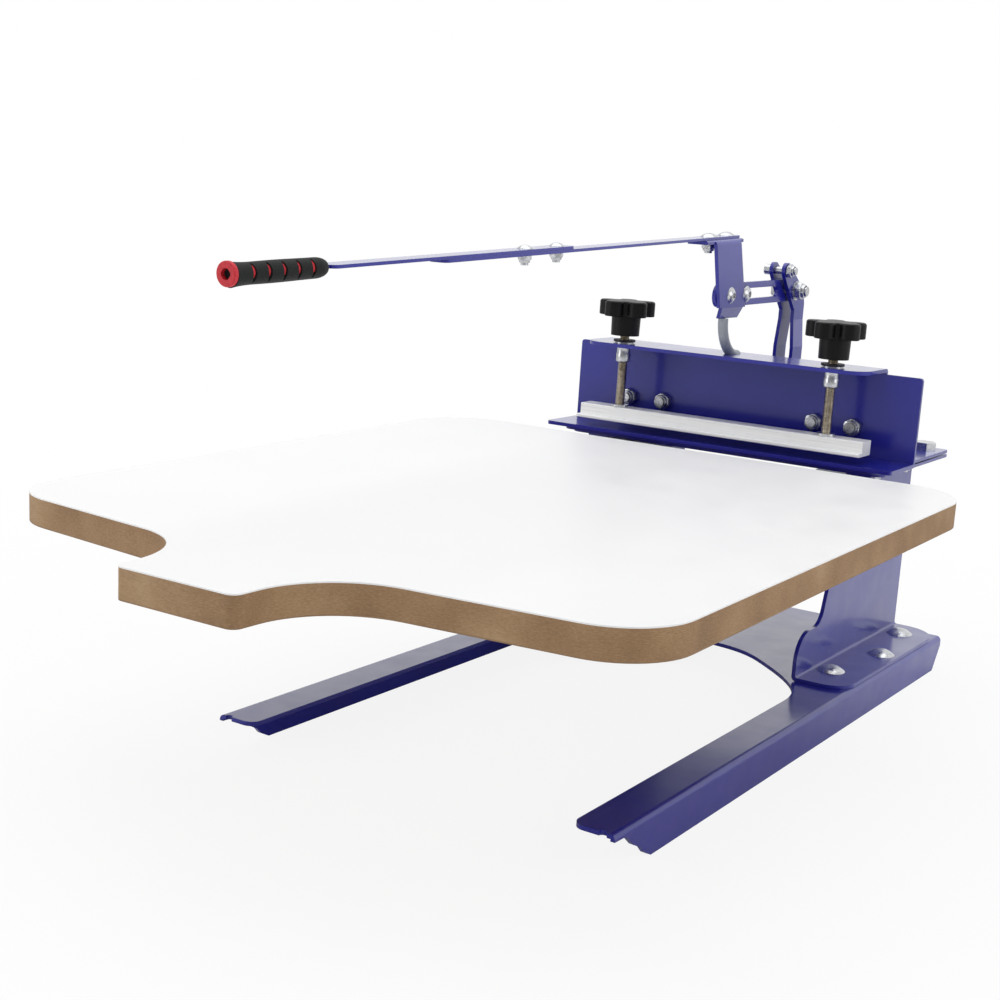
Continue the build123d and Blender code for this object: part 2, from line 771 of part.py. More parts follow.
def bracket_screws():
    """Button-head screws in the lifting plate, through the corner brackets."""
    one = bolt(socket_head(M6), M6, 2 * sheet)
    front = channel_web_front + sheet
    return both_sides(group(Pos(x, front + offset, rest_top) * one
                            for x, offset in bracket_screw_places))


def rivet_nuts():
    """Threaded inserts for the two clamp screws, pressed into the channel's roof."""
    low = flange_bottom - rivet_nut_length
    body = rod_z(screw_x, screw_y, (low, channel_top), rivet_nut_radius)
    flare = Cone(rivet_nut_radius, rivet_rim_radius, rivet_flare_height)
    flare = Pos(screw_x, screw_y, flange_bottom - rivet_flare_height / 2) * flare
    rim = rod_z(screw_x, screw_y, (channel_top, channel_top + rivet_rim_thickness),
                rivet_rim_radius)
    bore = rod_z(screw_x, screw_y, (low - 1, channel_top + 2 * rivet_rim_thickness),
                 screw_radius + running_clearance)
    return both_sides(body + flare + rim - bore)


def flange_washers():
    low = flange_washer_bottom
    one = washer(flange_washer_radius, screw_radius + 2 * hole_clearance,
                 (low, low + flange_washer_thickness))
    return both_sides(Pos(screw_x, screw_y, 0) * one)


def clamp_bar():
    """Aluminium bar with a lip in front, which presses the screen frame down."""
    lip_front = bar_front - lip_reach
    profile = [(bar_front, bar_top), (bar_rear, bar_top), (bar_rear, lip_bottom),
               (lip_front, lip_bottom), (lip_front, bar_bottom), (bar_front, bar_bottom)]
    bar = side_plate(profile, (-bar_half, bar_half))
    for y, z in profile[:5]:
        along = bar.edges().filter_by(Axis.X)
        corner = min(along, key=lambda edge: edge.distance_to(Vertex(0, y, z)))
        bar = chamfer(corner, bar_edge)
    for side in (-screw_x, screw_x):
        bar -= rod_z(side, screw_y, (bar_top - journal_length - 1, bar_top + 1),
                     journal_radius + running_clearance)
    return bar


def clamp_stud(side):
    """Threaded stud: a plain journal in the bar, and its top fixed in the knob."""
    x = side * screw_x
    journal = rod_z(x, screw_y, (bar_top - journal_length, foot_washer_bottom + 1),
                    journal_radius)
    thread = rod_z(x, screw_y, (foot_washer_bottom, knob_bottom + knob_socket_depth),
                   screw_radius)
    return journal + thread


def foot_washer(side):
    high = foot_washer_bottom + foot_washer_thickness
    return Pos(side * screw_x, screw_y, 0) * washer(foot_washer_radius, screw_radius,
                                                    (foot_washer_bottom, high))


def clamp_knob(side):
    """Lobed knob with a round hub below."""
    reach = knob_radius - lobe_radius
    outline = Circle(reach)
    for i in range(knob_lobes):
        turn = radians(knob_turn + 360 / knob_lobes * i)
        outline += Pos(reach * cos(turn), reach * sin(turn)) * Circle(lobe_radius)
    head = extrude(outline, knob_height)
    head = fillet(head.edges().filter_by(Axis.Z), knob_valley_radius)
    head = fillet(head.faces().sort_by(Axis.Z)[-1].edges(), knob_edge_radius)
    head = fillet(head.faces().sort_by(Axis.Z)[0].edges(), knob_edge_radius / 2)
    hub = Cone(hub_radius - hub_taper, hub_radius, hub_height)
    shape = Pos(0, 0, hub_height) * head + Pos(0, 0, hub_height / 2) * hub
    shape -= rod_z(0, 0, (-1, knob_socket_depth), screw_radius)
    return Pos(side * screw_x, screw_y, knob_bottom) * shape


# ================================================================ mast
def arm_screw_xs():
    return [arm_foot_spread + sheet + arm_screw_offset]


def mast_arm(side):
    """Flat bar with a foot turned outward, set in at the top and leaning forward there."""
    low, bend_z = head_plate_top, head_plate_top + arm_bend_height
    joggle = (low + arm_joggle_low, low + arm_joggle_high)
    inner, set_in = arm_foot_spread, arm_head_spread
    top = stop_z + arm_width
    foot_end = inner + arm_foot_length
    reach = (0, foot_end)
    profile = [(inner, low), (foot_end, low), (foot_end, low + sheet),
               (inner + sheet, low + sheet), (inner + sheet, joggle[0]),
               (set_in + sheet, joggle[1]), (set_in + sheet, top), (set_in, top),
               (set_in, joggle[1]), (inner, joggle[0])]
    front, rear = stop_y - 2 * arm_width, arm_y + 2 * arm_width
    sweep_face = make_face(Plane.XZ * Polyline(*profile, close=True))
    bar = Pos(0, rear, 0) * extrude(sweep_face, rear - front, dir=(0, -1, 0))
    elbow = (arm_y, bend_z)
    outline = capsule((arm_y, low - arm_width), elbow, arm_width / 2, reach)
    outline += capsule(elbow, (pivot_y, pivot_z), arm_width / 2, reach)
    outline += capsule((pivot_y, pivot_z), (stop_y, stop_z), arm_width / 2, reach,
                       arm_tip_radius)
    shape = bar & outline
    shape -= rod_x_axis(reach, pivot_y, pivot_z, pivot_bolt_radius + hole_clearance)
    shape -= rod_x_axis(reach, stop_y, stop_z, stop_bolt_radius + hole_clearance)
    for x in arm_screw_xs():
        shape -= rod_z(x, arm_y, (low - 1, low + sheet + 1), M6["shank"] + hole_clearance)
    return shape if side > 0 else mirror(shape, Plane.YZ)


def arm_screws():
    one = bolt(socket_head(M6), M6, 2 * sheet)
    return both_sides(group(Pos(x, arm_y, rest_top) * one for x in arm_screw_xs()))


def arm_outer():
    """Outer faces of the arms at the height of the bolts."""
    return arm_head_spread + sheet


def pivot_bolt():
    length = 2 * arm_outer() + pivot_washer_thickness + M8["nut"] + thread_end
    return along_minus_x(bolt(hex_head(M8), M8, length), -arm_outer(), pivot_y, pivot_z)


def pivot_nut():
    seat = arm_outer() + pivot_washer_thickness
    return along_x(lock_nut(M8), seat, pivot_y, pivot_z)


def pivot_washer():
    ring = washer(pivot_washer_radius, pivot_bolt_radius + hole_clearance,
                  (0, pivot_washer_thickness))
    return along_x(ring, arm_outer(), pivot_y, pivot_z)


def pivot_spacers():
    """Washers that centre the link between the arms."""
    near = link_thickness / 2 + running_clearance
    ring = washer(pivot_washer_radius, pivot_bolt_radius, (0, arm_head_spread - near))
    return both_sides(along_x(ring, near, pivot_y, pivot_z))


def stop_bolt():
    length = 2 * arm_outer() + M6["nut"] + thread_end
    head = rod_z(0, 0, (0, stop_head_height), stop_head_radius)
    return along_minus_x(bolt(head, M6, length), -arm_outer(), stop_y, stop_z)


def stop_nut():
    return along_x(lock_nut(M6), arm_outer(), stop_y, stop_z)


def rest_rod():
    """Curved rod on the channel's roof that the lowered handle lies on."""
    arc_y = rod_y + rod_bend_radius
    ring = Torus(rod_bend_radius, rod_radius)
    ring = Pos(rod_x, arc_y, rod_top) * Rot(0, 90, 0) * ring
    reach = 2 * rod_bend_radius
    window = block((rod_x - reach, rod_x + reach), (rod_y - rod_radius, arc_y),
                   (channel_top, rod_top))
    return ring & window


# ================================================================ slotted link
def slotted_link():
    x = (-link_thickness / 2, link_thickness / 2)
    bar = capsule((pivot_y, pivot_z), link_place(link_reach), link_height / 2, x)
    wide = (-link_thickness, link_thickness)
    bar -= capsule(link_place(slot_near), link_place(slot_far), slot_width / 2, wide)
    return bar - rod_x_axis(wide, pivot_y, pivot_z, pivot_bolt_radius + running_clearance)


# ================================================================ handle
def clamp_screw_places():
    return [link_place(clamp_screw_near), link_place(clamp_screw_far)]


def strip_bottom():
    """Underside of the level rear strip, which is also the top of the bracket's tab."""
    return strip_height - strip_thickness / 2


def handle_bracket():
    """Folded plate: a standing cheek on the link, a tab above and a rest tab below."""
    inner = link_thickness / 2
    top = strip_bottom()
    beyond = 2 * strip_rise
    cheek = [(cheek_top_front, top + sheet), (cheek_top_rear, top + sheet),
             (cheek_bottom_rear, cheek_bottom), (cheek_bottom_front, cheek_bottom)]
    above = sloped(block((-beyond, beyond), (tab_front - beyond, tab_rear + beyond),
                         (top, top + beyond)))
    cheek = side_plate(cheek, (inner, bracket_face)) - above
    tab = sloped(block((strip_left, inner + sheet / 2), (tab_front, tab_rear),
                       (top - sheet, top)))
    shape = cheek + tab
    bend = sloped(Vertex(bracket_face, (cheek_top_front + cheek_top_rear) / 2, top))
    edge = min(shape.edges(), key=lambda candidate: candidate.distance_to(bend))
    shape = fillet(edge, bend_radius) + rest_tab()
    for y, z in clamp_screw_places():
        shape -= rod_x_axis((0, 2 * bracket_face), y, z, clamp_screw_radius + hole_clearance)
    for y in tab_bolt_places:
        shape -= sloped(rod_z(strip_x, y, (top - 2 * sheet, top + 1),
                              M6["shank"] + hole_clearance))
    return shape


def rest_tab():
    """Tongue under the cheek, leaning to the left, that comes down on the curved rod."""
    inner, high, low = link_thickness / 2, cheek_bottom, cheek_bottom - rest_tab_drop
    fold = [(bracket_face, high), (inner, high), (inner - rest_tab_lean, low),
            (bracket_face - rest_tab_lean, low)]
    face = make_face(Plane.XZ * Polyline(*fold, close=True))
    tongue = Pos(0, rest_tab_rear, 0) * extrude(face, rest_tab_rear - rest_tab_front,
                                                dir=(0, -1, 0))
    taper = [(rest_tab_front, high), (rest_tab_rear, high),
             (rest_tab_rear - rest_tab_taper, low), (rest_tab_front + rest_tab_taper, low)]
    return tongue & side_plate(taper, (-bracket_face, 2 * bracket_face))


def clamp_screws():
    """Button-head screws that clamp the bracket on the link's slot."""
    length = sheet + link_thickness + clamp_washer_thickness + clamp_nut_height + thread_end
    one = bolt(socket_head(clamp_button), M8, length)
    return group(along_x(one, bracket_face, y, z) for y, z in clamp_screw_places())


def clamp_washers():
    ring = washer(clamp_washer_radius, clamp_screw_radius + hole_clearance,
                  (0, clamp_washer_thickness))
    return group(along_minus_x(ring, -link_thickness / 2, y, z)
                 for y, z in clamp_screw_places())


def clamp_nuts():
    seat = -link_thickness / 2 - clamp_washer_thickness
    return group(along_minus_x(lock_nut(clamp_button), seat, y, z)
                 for y, z in clamp_screw_places())


def strip(front, rear, bottom, bolt_places, size):
    """Level flat bar with round-cornered ends."""
    bar = block((strip_left, strip_left + strip_width), (front, rear),
                (bottom, bottom + strip_thickness))
    for x in (strip_left, strip_left + strip_width):
        bar = rounded(bar, [((x, y, bottom), strip_corner_radius) for y in (front, rear)])
    for y in bolt_places:
        bar -= rod_z(strip_x, y, (bottom - 1, bottom + sheet), size["shank"] + hole_clearance)
    return bar


def rear_strip():
    bottom = strip_bottom()
    bar = strip(rear_strip_front, rear_strip_rear, bottom, tab_bolt_places, M6)
    for y in splice_bolt_places:
        bar -= rod_z(strip_x, y, (bottom - 1, bottom + sheet), M5["shank"] + hole_clearance)
    return sloped(bar)


def front_strip():
    """Forward bar of the handle, narrowed to a tang that runs inside the grip."""
    bottom = strip_bottom() + strip_thickness
    start = grip_rear + rest_gap
    bar = strip(start, front_strip_rear, bottom, splice_bolt_places, M5)
    tang = block((strip_x - tang_width / 2, strip_x + tang_width / 2),
                 (tang_front, start + tang_overlap), (bottom, bottom + strip_thickness))
    return sloped(bar + tang)


def tab_bolts():
    length = strip_thickness + sheet + M6["nut"] + thread_end
    one = bolt(dome_head(M6), M6, length)
    seat = strip_bottom() + strip_thickness
    return sloped(group(Pos(strip_x, y, seat) * one for y in tab_bolt_places))


def tab_nuts():
    one = Rot(180, 0, 0) * lock_nut(M6)
    seat = strip_bottom() - sheet
    return sloped(group(Pos(strip_x, y, seat) * one for y in tab_bolt_places))


def splice_bolts():
    length = 2 * strip_thickness + M5["nut"] + thread_end
    one = bolt(dome_head(M5), M5, length)
    seat = strip_bottom() + 2 * strip_thickness
    return sloped(group(Pos(strip_x, y, seat) * one for y in splice_bolt_places))


def splice_nuts():
    one = Rot(180, 0, 0) * lock_nut(M5)
    return sloped(group(Pos(strip_x, y, strip_bottom()) * one for y in splice_bolt_places))


def grip_axis_z():
    return strip_bottom() + 1.5 * strip_thickness


def grip_tube(front, rear, radius):
    """Round bar about the grip's axis, along Y."""
    middle = Pos(strip_x, (front + rear) / 2, grip_axis_z())
    return middle * Rot(90, 0, 0) * Cylinder(radius, rear - front)


def grip_core():
    """Hard inner tube with a collar at the front end."""
    core = grip_tube(grip_front + grip_flange_length, grip_rear - grip_dome_length,
                     grip_core_radius)
    collar = grip_tube(grip_front, grip_front + grip_flange_length, grip_front_radius)
    collar = fillet(collar.edges().filter_by(GeomType.CIRCLE), grip_flange_length / 4)
    tang_slot = block((strip_x - tang_width / 2, strip_x + tang_width / 2),
                      (grip_front - 1, grip_rear + 1),
                      (grip_axis_z() - strip_thickness / 2, grip_axis_z() + strip_thickness / 2))
    mouth = grip_tube(grip_front - 1, tang_front - grip_end_gap, grip_bore_radius)
    return sloped(core + collar - tang_slot - mouth)


def grip_sleeve():
    """Soft sleeve around the core, closed by a dome that the strip comes out of."""
    start, end = grip_front + grip_flange_length, grip_rear - grip_dome_length
    middle = (end + (start + end) / 2) / 2
    outline = [Line((0, start), (grip_front_radius, start)),
               Spline((grip_front_radius, start), (grip_sleeve_radius, middle),
                      (grip_sleeve_radius, end), tangents=[(-0.1, 1), (0, 1)]),
               Spline((grip_sleeve_radius, end), (grip_tip_radius, grip_rear),
                      tangents=[(0, 1), (-1, 0)]),
               Line((grip_tip_radius, grip_rear), (0, grip_rear)),
               Line((0, grip_rear), (0, start))]
    sleeve = revolve(make_face(outline), Axis.Y, 360)
    sleeve = Pos(strip_x, 0, grip_axis_z()) * sleeve
    sleeve -= grip_tube(grip_front, end, grip_core_radius)
    mouth = block((strip_x - tang_width / 2, strip_x + tang_width / 2), (end - 1, grip_rear + 1),
                  (grip_axis_z() - strip_thickness / 2, grip_axis_z() + strip_thickness / 2))
    return sloped(sleeve - mouth)


# ================================================================ write the parts
parts = {
    "base_frame": base_frame(),
    "upright_left": upright(-1),
    "upright_right": upright(1),
    "foot_bolts": foot_bolts(),
    "foot_nuts": foot_nuts(),
    "hinge_base_plate": hinge_base_plate(),
    "base_plate_bolts": base_plate_bolts(),
    "base_plate_nuts": base_plate_nuts(),
    "hinge_pin": hinge_pin(),
    "rest_pads": rest_pads(),
    "board_core": board_core(),
    "board_top_laminate": board_top_laminate(),
    "board_bottom_laminate": board_bottom_laminate(),
    "board_screws": board_screws(),
    "board_arm_left": board_arm(-1),
    "board_arm_right": board_arm(1),
    "board_arm_bolts": board_arm_bolts(),
    "board_arm_nuts": board_arm_nuts(),
    "head_plate": head_plate(),
    "jack_bolts": jack_bolts(),
    "clamp_channel": clamp_channel(),
    "corner_bracket_left": corner_bracket(-1),
    "corner_bracket_right": corner_bracket(1),
    "web_bolts": web_bolts(),
    "web_nuts": web_nuts(),
    "bracket_screws": bracket_screws(),
    "rivet_nuts": rivet_nuts(),
    "flange_washers": flange_washers(),
    "clamp_bar": clamp_bar(),
    "clamp_stud_left": clamp_stud(-1),
    "clamp_stud_right": clamp_stud(1),
    "foot_washer_left": foot_washer(-1),
    "foot_washer_right": foot_washer(1),
    "clamp_knob_left": clamp_knob(-1),
    "clamp_knob_right": clamp_knob(1),
    "mast_arm_left": mast_arm(-1),
    "mast_arm_right": mast_arm(1),
    "arm_screws": arm_screws(),
    "pivot_bolt": pivot_bolt(),
    "pivot_nut": pivot_nut(),
    "pivot_washer": pivot_washer(),
    "pivot_spacers": pivot_spacers(),
    "stop_bolt": stop_bolt(),
    "stop_nut": stop_nut(),
    "rest_rod": rest_rod(),
    "slotted_link": slotted_link(),
    "handle_bracket": handle_bracket(),
    "clamp_screws": clamp_screws(),
    "clamp_washers": clamp_washers(),
    "clamp_nuts": clamp_nuts(),
    "rear_strip": rear_strip(),
    "front_strip": front_strip(),
    "tab_bolts": tab_bolts(),
    "tab_nuts": tab_nuts(),
    "splice_bolts": splice_bolts(),
    "splice_nuts": splice_nuts(),
    "grip_core": grip_core(),
    "grip_sleeve": grip_sleeve(),
}

to_origin = Pos(0, -overall_length / 2, 0)
os.makedirs("parts", exist_ok=True)
for node, shape in parts.items():
    export_step(to_origin * shape, f"parts/{node}.step")
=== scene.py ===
"""Looks for a tabletop screen printing press, built around its packed construction model.

Metres, +Z up, +Y to the rear hinge. Powder-coated steelwork, a laminated fibreboard print
board, zinc-plated fasteners, an aluminium clamp bar, moulded knobs and a two-part grip.
"""
import json
from math import cos, pi, radians, sin

import bmesh
import bpy
from mathutils import Matrix, Vector


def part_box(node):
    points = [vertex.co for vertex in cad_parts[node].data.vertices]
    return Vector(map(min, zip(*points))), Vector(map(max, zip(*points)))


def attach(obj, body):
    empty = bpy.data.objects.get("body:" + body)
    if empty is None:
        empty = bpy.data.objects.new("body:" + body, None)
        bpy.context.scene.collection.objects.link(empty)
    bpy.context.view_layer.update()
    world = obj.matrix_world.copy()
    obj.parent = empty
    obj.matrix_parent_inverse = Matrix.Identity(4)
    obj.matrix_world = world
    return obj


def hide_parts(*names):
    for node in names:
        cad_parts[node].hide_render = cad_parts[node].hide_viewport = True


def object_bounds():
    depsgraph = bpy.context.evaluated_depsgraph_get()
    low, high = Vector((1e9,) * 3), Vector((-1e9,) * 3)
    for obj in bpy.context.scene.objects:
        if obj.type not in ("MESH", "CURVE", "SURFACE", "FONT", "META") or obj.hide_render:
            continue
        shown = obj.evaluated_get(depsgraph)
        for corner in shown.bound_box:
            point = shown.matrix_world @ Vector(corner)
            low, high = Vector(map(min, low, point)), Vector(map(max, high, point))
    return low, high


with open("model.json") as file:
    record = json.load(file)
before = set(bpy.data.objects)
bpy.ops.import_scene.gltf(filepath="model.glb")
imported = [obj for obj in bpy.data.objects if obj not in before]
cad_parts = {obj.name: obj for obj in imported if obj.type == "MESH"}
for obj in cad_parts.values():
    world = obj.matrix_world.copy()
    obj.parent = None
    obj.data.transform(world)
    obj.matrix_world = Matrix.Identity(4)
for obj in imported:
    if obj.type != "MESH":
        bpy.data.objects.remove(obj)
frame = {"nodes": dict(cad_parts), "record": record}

cad_low, cad_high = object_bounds()
nodes = frame["nodes"]
MM = 0.001

# Stock fasteners: width across flats, nut height, thread radius.
M5 = (8 * MM, 5 * MM, 2.5 * MM)
M6 = (10 * MM, 6 * MM, 3 * MM)
M8 = (13 * MM, 8 * MM, 4 * MM)
STUD_PITCH = 1.25 * MM
RINGS_PER_PITCH = 8
THREAD_DEPTH = 0.65 * MM
INSERT_BORE = 4.12 * MM            # radius, clear of the stud's thread
RIM_THICKNESS = 1 * MM             # of an insert, with its broken edge
RIM_EDGE = 0.25 * MM
HANDLE_SLOPE = radians(2.5)        # front end down

GRIP_FRONT = 6.6 * MM              # radii of the sleeve, from its flare to its domed tip
GRIP_SLIM = 5.7 * MM
GRIP_TIP = 2.5 * MM
GRIP_SWELL = 0.25 * MM             # fuller at half length
GRIP_EDGE = 0.3 * MM               # its front edge, slightly rounded
GRIP_FLARE_LENGTH = 16 * MM
GRIP_DOME_LENGTH = 9 * MM
SLIT_FIRST = 13 * MM               # from the sleeve's front end
SLIT_SPACING = 11.6 * MM
SLIT_COUNT = 5
SLIT_HALF_WIDTH = 1.3 * MM
SLIT_HALF_ARC = radians(62)
SLIT_FACING = radians(8)           # above straight right
SLIT_FLOOR = 4.3 * MM              # radius, just under the red core's own

SHARP_FROM = radians(35)           # faces that meet at more than this keep a sharp edge
THREAD_SHARP_FROM = radians(60)

FLOOR_HALF = 6.0
FLOOR_GLOW = 0.88        # how much of the shadow near the press the paper's own light hides
GLOW_FADE = (0.35, 0.95)           # distances over which the floor turns to plain white
ROOM_LIGHT = 0.55                  # strength of the room on all that isn't a mirror
MIRRORED_FRONT = 0.3               # what a mirror sees of the room's front
FRONT_TO_REAR = (-0.4, 0.6)        # over which directions, by their Y, that gets brighter


# ================================================================ nodes and finishes
def colour(code):
    """An sRGB hex value as linear RGBA."""
    parts = [int(code[i:i + 2], 16) / 255 for i in (1, 3, 5)]
    linear = [c / 12.92 if c <= 0.04045 else ((c + 0.055) / 1.055) ** 2.4 for c in parts]
    return (*linear, 1.0)


def add(tree, kind, inputs=None, stops=None, **settings):
    """Adds a node with its settings.

    Each input is given a value, or is linked to an output socket. A colour ramp also gets
    its stops, as (position, hex value).
    """
    node = tree.nodes.new(kind)
    for key, value in settings.items():
        setattr(node, key, value)
    for key, value in (inputs or {}).items():
        if isinstance(value, bpy.types.NodeSocket):
            tree.links.new(value, node.inputs[key])
        else:
            node.inputs[key].default_value = value
    if stops:
        band = node.color_ramp
        while len(band.elements) < len(stops):
            band.elements.new(0.5)
        for element, (position, code) in zip(band.elements, stops):
            element.position = position
            element.color = colour(code)
    return node


def mottling(tree, stretch, size, detail=2.0, roughness=0.5):
    """Cloudy pattern on the piece's own coordinates, with spots of about the given size."""
    place = add(tree, "ShaderNodeTexCoord").outputs["Object"]
    place = add(tree, "ShaderNodeMapping", {"Vector": place, "Scale": stretch}).outputs["Vector"]
    return add(tree, "ShaderNodeTexNoise", {
        "Vector": place, "Scale": 1 / size, "Detail": detail,
        "Roughness": roughness}).outputs["Fac"]


def new_finish(name, tone, stops, clouds=None, gloss=None, relief=None, edge=None,
               stretch=(1, 1, 1), **values):
    """A finish on one Principled BSDF, whose own values come last.

    tone is the mottling that moves the colour along the stops, and clouds is a second one,
    not stretched, that has half a say in it. gloss is the mottling of the roughness, with
    its lowest and its highest value. relief is the mottling of the surface, with its depth
    and its strength. edge is how far sharp edges are rounded in the shading.
    """
    material = bpy.data.materials.new(name)
    material.use_nodes = True
    tree = material.node_tree
    shader = tree.nodes["Principled BSDF"]
    for key, value in values.items():
        shader.inputs[key.replace("_", " ")].default_value = value
    shade = mottling(tree, stretch, *tone)
    if clouds:
        both = add(tree, "ShaderNodeMath", {0: shade, 1: mottling(tree, (1, 1, 1), *clouds)},
                   operation="ADD").outputs[0]
        shade = add(tree, "ShaderNodeMath", {0: both, 1: 0.5}, operation="MULTIPLY").outputs[0]
    tones = add(tree, "ShaderNodeValToRGB", {"Fac": shade}, stops)
    tree.links.new(tones.outputs["Color"], shader.inputs["Base Color"])
    if gloss:
        pattern, low, high = gloss
        dulled = add(tree, "ShaderNodeMapRange", {
            "Value": mottling(tree, stretch, *pattern), "From Min": 0.3, "From Max": 0.7,
            "To Min": low, "To Max": high})
        tree.links.new(dulled.outputs["Result"], shader.inputs["Roughness"])
    if relief:
        pattern, depth, strength = relief
        surface = add(tree, "ShaderNodeBump", {
            "Height": mottling(tree, stretch, *pattern), "Distance": depth,
            "Strength": strength})
        if edge:
            soft = add(tree, "ShaderNodeBevel", {"Radius": edge}, samples=4)
            tree.links.new(soft.outputs["Normal"], surface.inputs["Normal"])
        tree.links.new(surface.outputs["Normal"], shader.inputs["Normal"])
    return material


finishes = {
    # Gloss powder coat on sheet steel: deep blue violet, a faint orange peel from curing,
    # edges rounded where the powder pulls back, and a clear hard gloss over all.
    "blue_powder_coat": new_finish(
        "blue powder coat", (60 * MM, 3.0), [(0.3, "#191c8a"), (0.7, "#1f2296")],
        gloss=((25 * MM,), 0.30, 0.40), relief=((1.4 * MM,), 0.02 * MM, 0.5), edge=0.7 * MM,
        Specular_IOR_Level=0.3, Coat_Weight=1.0, Coat_Roughness=0.15, Coat_IOR=1.4),
    # Bright zinc plate on cold-headed steel: a slightly cloudy mirror.
    "zinc_plate": new_finish(
        "bright zinc plate", (3 * MM, 3.0), [(0.3, "#b9bcc0"), (0.7, "#d9dadc")],
        gloss=((4 * MM,), 0.24, 0.34), relief=((2 * MM,), 0.006 * MM, 0.3), edge=0.3 * MM,
        Metallic=1.0),
    # Sawn and sanded edge of medium-density fibreboard: matted brown fibres that lie flat
    # in the board, with paler and darker clouds along the cut.
    "fibreboard": new_finish(
        "fibreboard edge", (2.2 * MM, 6.0, 0.7),
        [(0.32, "#7c5f42"), (0.5, "#9a7a58"), (0.68, "#b39572")], clouds=(45 * MM,),
        relief=((2.2 * MM, 6.0, 0.7), 0.12 * MM, 0.6), stretch=(1, 1, 4), Roughness=0.72,
        IOR=1.45),
    # White melamine laminate, pressed against a satin plate: even and lightly textured.
    "white_laminate": new_finish(
        "white laminate", (120 * MM,), [(0.3, "#f2f2f2"), (0.7, "#f4f4f4")],
        gloss=((30 * MM,), 0.36, 0.46), relief=((1.2 * MM,), 0.01 * MM, 0.35), IOR=1.5),
    # Closed-cell foam rubber: matt charcoal, with fine open pores in its skin.
    "black_rubber": new_finish(
        "foam rubber", (0.9 * MM, 4.0, 0.65), [(0.32, "#0d0e0e"), (0.68, "#1a1c1c")],
        relief=((0.9 * MM, 4.0, 0.65), 0.12 * MM, 0.7), Roughness=0.85, IOR=1.45,
        Sheen_Weight=0.1, Sheen_Roughness=0.5, Specular_IOR_Level=0.3),
    # Mill-finish aluminium extrusion: pale metal with fine die lines along its length.
    "aluminium_bar": new_finish(
        "extruded aluminium", (0.6 * MM, 3.0), [(0.3, "#eeefef"), (0.7, "#fafafa")],
        gloss=((0.6 * MM, 3.0), 0.25, 0.4), relief=((0.6 * MM, 3.0), 0.015 * MM, 0.5),
        stretch=(0.01, 1, 1), Metallic=0.15),
    # Glass-filled nylon, moulded with a fine spark texture: black, dull, grey at a slant.
    "black_plastic": new_finish(
        "moulded black nylon", (8 * MM,), [(0.3, "#070708"), (0.7, "#0c0c0d")],
        relief=((0.7 * MM, 3.0), 0.03 * MM, 0.5), Roughness=0.4, IOR=1.4,
        Specular_IOR_Level=0.3),
    # Red foam core of the grip: soft, slightly satin.
    "red_plastic": new_finish(
        "red foam core", (1 * MM, 3.0), [(0.3, "#b81f2c"), (0.7, "#d8303c")],
        relief=((1 * MM, 3.0), 0.06 * MM, 0.5), Roughness=0.55, IOR=1.46),
    # Blackened steel of the washers and the hinge pin: dull and near black.
    "dark_steel": new_finish(
        "blackened steel", (2 * MM, 3.0), [(0.3, "#2b2b30"), (0.7, "#45454c")],
        Metallic=0.8, Roughness=0.45),
    # Grey plastic tube over the steel rest rod: smooth and slightly glossy.
    "grey_steel": new_finish(
        "grey sleeve", (20 * MM,), [(0.3, "#8e949c"), (0.7, "#a2a8af")],
        Roughness=0.32, IOR=1.49),
    # Brown balancing sheet under the board: plain and a little rough.
    "backing_sheet": new_finish(
        "balancing sheet", (30 * MM, 3.0), [(0.3, "#86684a"), (0.7, "#98795a")],
        Roughness=0.6),
}
# Rolled thread in plain steel: a little warm and greasy.
stud_steel = new_finish(
    "rolled stud steel", (4 * MM, 3.0), [(0.3, "#a59b8a"), (0.7, "#d0c8b8")],
    Metallic=1.0, Roughness=0.3)

slot_of = {part["node"]: part["material_slot"] for part in frame["record"]["subparts"]}
for name, node in nodes.items():
    finish = finishes[slot_of[name]]
    if not node.material_slots:
        node.data.materials.append(finish)
    for material_slot in node.material_slots:
        material_slot.material = finish


# ================================================================ piece tools
def new_object(name, vertices, faces):
    """A mesh piece, linked to the scene, with its place in its own vertices."""
    mesh = bpy.data.meshes.new(name)
    mesh.from_pydata(vertices, [], faces)
    mesh.validate()
    piece = bpy.data.objects.new(name, mesh)
    bpy.context.scene.collection.objects.link(piece)
    return piece


def turned(name, rings, segments, across=None):
    """Closed body turned about Z from (height, radius) rings, poles at the first and last.

    Given a width across flats, every ring is also cut to that hexagon, which leaves the
    curved chamfers of a turned hexagon.
    """
    vertices = [(0, 0, rings[0][0])]
    for height, radius in rings[1:-1]:
        for i in range(segments):
            turn = 2 * pi * i / segments
            reach = radius
            if across:
                reach = min(radius, across / 2 / cos((turn + pi / 6) % (pi / 3) - pi / 6))
            vertices.append((reach * cos(turn), reach * sin(turn), height))
    vertices.append((0, 0, rings[-1][0]))
    faces = []
    last = len(vertices) - 1
    top = last - segments
    for i in range(segments):
        after = (i + 1) % segments
        faces.append((0, 1 + after, 1 + i))
        for row in range(len(rings) - 3):
            low, high = 1 + row * segments, 1 + (row + 1) * segments
            faces.append((low + i, low + after, high + after, high + i))
        faces.append((last, top + i, top + after))
    return new_object(name, vertices, faces)


def tube(name, profile, segments):
    """Ring about Z from a closed (height, radius) profile, drawn up its outside first."""
    vertices = [(radius * cos(2 * pi * i / segments), radius * sin(2 * pi * i / segments), height)
                for height, radius in profile for i in range(segments)]
    faces = []
    for row in range(len(profile)):
        low, high = row * segments, (row + 1) % len(profile) * segments
        for i in range(segments):
            after = (i + 1) % segments
            faces.append((low + i, low + after, high + after, high + i))
    return new_object(name, vertices, faces)


